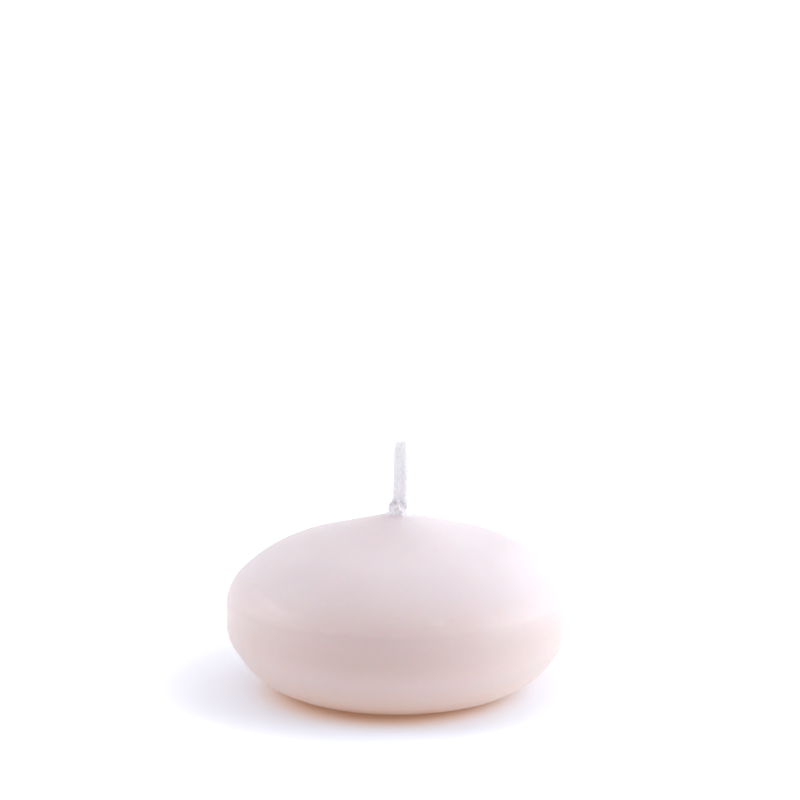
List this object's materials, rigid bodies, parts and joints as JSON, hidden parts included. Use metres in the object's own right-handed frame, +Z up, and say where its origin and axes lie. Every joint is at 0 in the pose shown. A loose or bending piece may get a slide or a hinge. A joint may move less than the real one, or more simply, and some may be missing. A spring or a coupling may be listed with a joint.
{
  "type": "floating candle",
  "caption": "Small unlit floating candle: a smooth wax disc with a waist band and a domed top, a short braided cotton wick and a metal wick tab underneath.",
  "frame": {"origin": "centre of the flat foot, on the candle's axis, in the plane that it stands on", "axes": "+Z up along the candle's axis; +Y away from the viewer of the picture; +X to the viewer's right, which is the side that the wick leans to"},
  "size_m": [0.045, 0.045, 0.0327],
  "materials": {
    "wax": "smooth white wax with a faint pink cast, satin, slightly translucent",
    "waxed_cotton": "white braided cotton soaked in wax",
    "tinplate": "plain tinned sheet"
  },
  "bodies": {
    "root": {"wax_body": "wax", "wick": "waxed_cotton", "wick_sustainer": "tinplate"}
  },
  "joints": []
}
